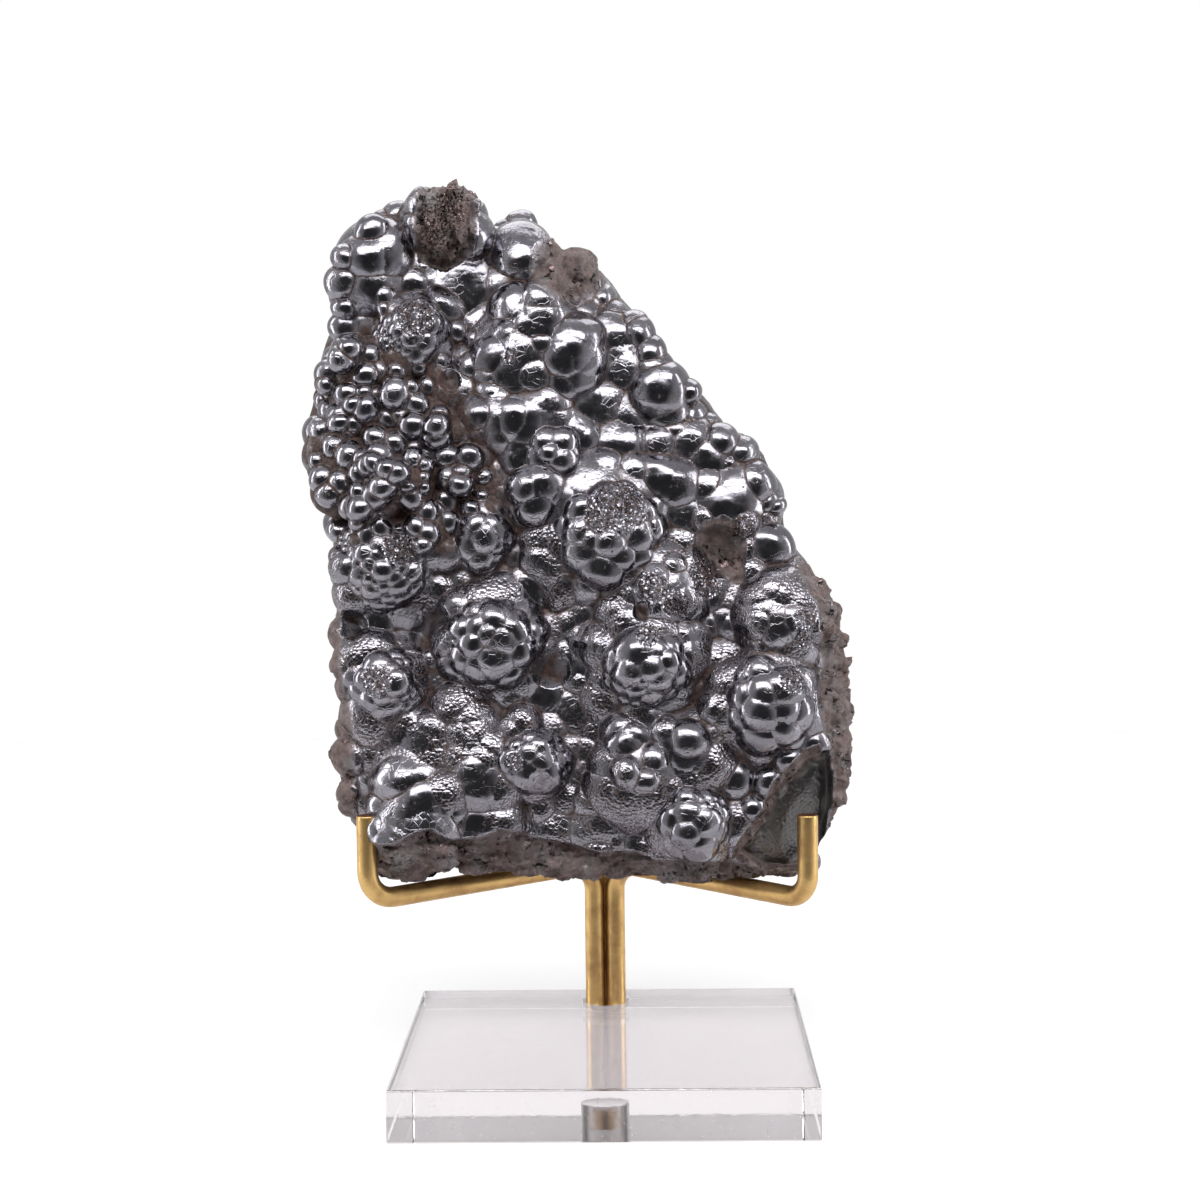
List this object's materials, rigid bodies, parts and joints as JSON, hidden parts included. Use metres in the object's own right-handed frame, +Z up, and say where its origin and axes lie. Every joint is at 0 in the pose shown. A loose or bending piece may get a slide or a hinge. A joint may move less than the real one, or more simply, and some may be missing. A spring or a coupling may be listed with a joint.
{
  "type": "mineral specimen",
  "caption": "Upright slab of botryoidal hematite with a bubbly metallic face, carried by hooked brass rods that rise from a clear square acrylic base.",
  "frame": {"origin": "middle of the acrylic base's underside, which rests on the surface", "axes": "+Z up, -Y towards the viewer of the bubbly face, +X to that viewer's right"},
  "size_m": [0.1409, 0.1016, 0.2303],
  "materials": {
    "hematite": "natural metallic lustre on the bubbly face, dull reddish brown where broken",
    "brass": "satin, a little darkened",
    "acrylic": "clear and polished"
  },
  "bodies": {
    "root": {"hematite": "hematite", "left_arm": "brass", "right_arm": "brass", "back_rest": "brass", "acrylic_base": "acrylic"}
  },
  "joints": []
}
